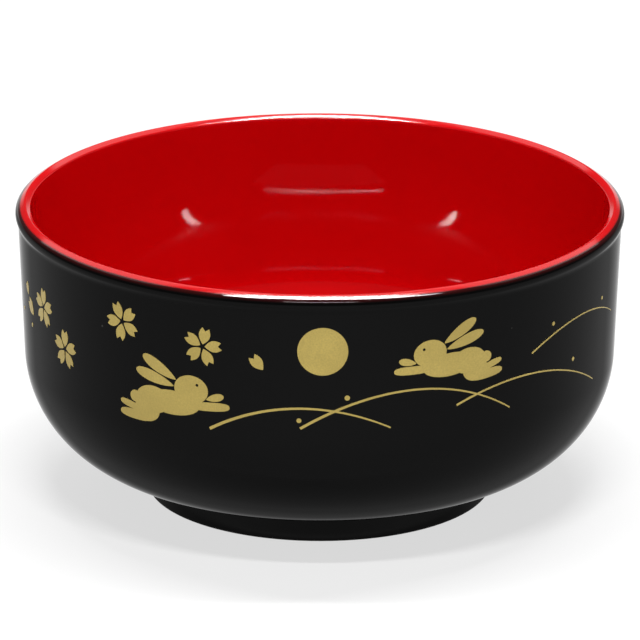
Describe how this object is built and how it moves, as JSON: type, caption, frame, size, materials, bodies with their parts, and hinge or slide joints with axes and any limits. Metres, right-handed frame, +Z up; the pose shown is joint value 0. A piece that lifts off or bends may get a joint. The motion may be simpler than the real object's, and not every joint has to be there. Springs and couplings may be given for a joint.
{
  "type": "soup bowl",
  "caption": "Open round soup bowl with a rounded lip and a foot ring, black lacquer outside and red inside, with a gold print of rabbits leaping over grass under a full moon.",
  "frame": {"origin": "centre of the standing face, on the bowl's axis", "axes": "+Z is up along the bowl's axis, and the printed scene faces -Y with its moon in the middle"},
  "size_m": [0.121, 0.121, 0.0594],
  "materials": {
    "resin": "bare moulded resin, dark brown, matt",
    "black_lacquer": "sprayed black lacquer, high gloss",
    "red_lacquer": "sprayed vermilion red lacquer, high gloss",
    "gold_ink": "screen-printed pale gold ink, satin"
  },
  "bodies": {
    "root": {"bowl_core": "resin", "outer_black_lacquer": "black_lacquer", "foot_well_black_lacquer": "black_lacquer", "inner_red_lacquer": "red_lacquer", "moon_print": "gold_ink", "left_rabbit_print": "gold_ink", "right_rabbit_print": "gold_ink", "blossom_print_1": "gold_ink", "blossom_print_2": "gold_ink", "blossom_print_3": "gold_ink", "blossom_print_4": "gold_ink", "loose_petal_print_1": "gold_ink", "loose_petal_print_2": "gold_ink", "loose_petal_print_3": "gold_ink", "grass_print_1": "gold_ink", "grass_print_2": "gold_ink", "grass_print_3": "gold_ink", "grass_print_4": "gold_ink", "dew_print_1": "gold_ink", "dew_print_2": "gold_ink", "dew_print_3": "gold_ink", "dew_print_4": "gold_ink", "dew_print_5": "gold_ink", "dew_print_6": "gold_ink", "dew_print_7": "gold_ink"}
  },
  "joints": []
}
